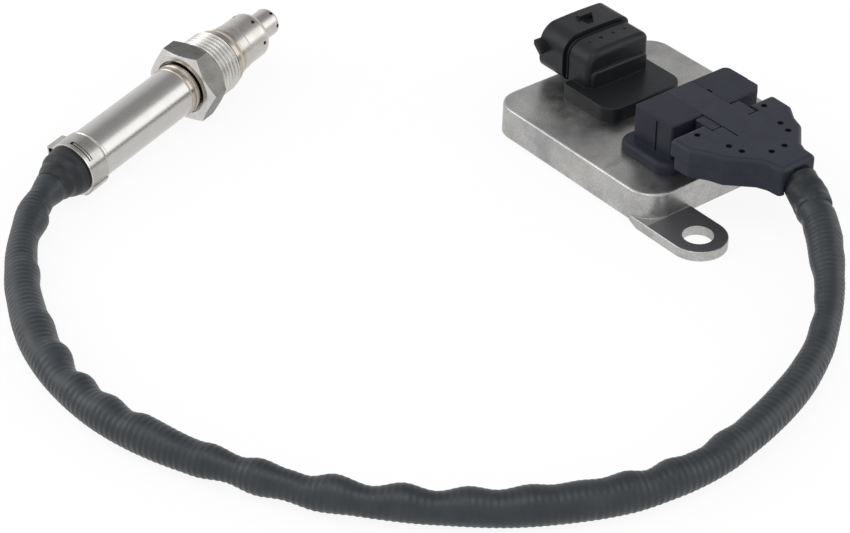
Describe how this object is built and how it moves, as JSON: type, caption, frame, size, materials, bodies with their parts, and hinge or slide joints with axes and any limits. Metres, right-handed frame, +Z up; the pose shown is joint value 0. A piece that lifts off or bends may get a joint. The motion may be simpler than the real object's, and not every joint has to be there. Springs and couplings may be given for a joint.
{
  "type": "nitrogen oxide sensor",
  "caption": "Exhaust gas sensor: a threaded probe with gas tubes, joined by a ribbed cable to a cast control module with an electrical connector.",
  "frame": {"origin": "midway between the two mounting holes, on the plane of the ear undersides", "axes": "+X towards the side where the sensor cable leaves the module, +Z up out of the mounting plane"},
  "size_m": [0.2427, 0.2362, 0.0294],
  "materials": {
    "housing": "cast, lightly mottled",
    "cover": "stamped, dull",
    "seal": "matte",
    "board": "lacquered",
    "chips": "matte",
    "capacitors": "satin",
    "screws": "zinc",
    "socket": "moulded, satin",
    "blades": "tinned",
    "header": "moulded, matte",
    "plug": "moulded, matte",
    "latches": "moulded, matte",
    "terminals": "bright",
    "collar": "matte",
    "cable": "ribbed sheath, matte",
    "grommet": "matte",
    "clamp": "worn",
    "sleeve": "polished",
    "probe_body": "turned, slightly golden",
    "nut": "machined, grey flats",
    "outer_tube": "satin",
    "inner_tube": "satin",
    "element": "white",
    "ceramic": "white",
    "talc": "pressed powder",
    "holder": "matte",
    "springs": "bright",
    "wires": "insulated"
  },
  "bodies": {
    "sensor": {"module_housing": "housing", "base_cover": "cover", "base_seal": "seal", "circuit_board": "board", "board_chips": "chips", "board_capacitors": "capacitors", "board_screws": "screws", "vehicle_connector": "socket", "vehicle_connector_pins": "blades", "vehicle_connector_seal": "seal", "sensor_header": "header", "sensor_header_pins": "blades", "sensor_header_seal": "seal", "lead_plug": "plug", "plug_latches": "latches", "plug_terminals": "terminals", "plug_cable_collar": "collar", "sensor_cable": "cable", "cable_grommet": "grommet", "ear_clamp": "clamp", "probe_sleeve": "sleeve", "probe_housing": "probe_body", "outer_gas_tube": "outer_tube", "inner_gas_tube": "inner_tube", "sensing_element": "element", "front_ceramic": "ceramic", "talc_seal": "talc", "rear_ceramic": "ceramic", "contact_holder": "holder", "contact_springs": "springs", "lead_wires": "wires"},
    "nut": {"union_nut": "nut"}
  },
  "joints": [
    {"name": "nut_spin", "type": "hinge", "parent": "sensor", "child": "nut", "pos_m": [-0.10039, -0.094, 0.01142], "axis": [-0.3185, 0.9465, 0.0523], "continuous": true}
  ]
}
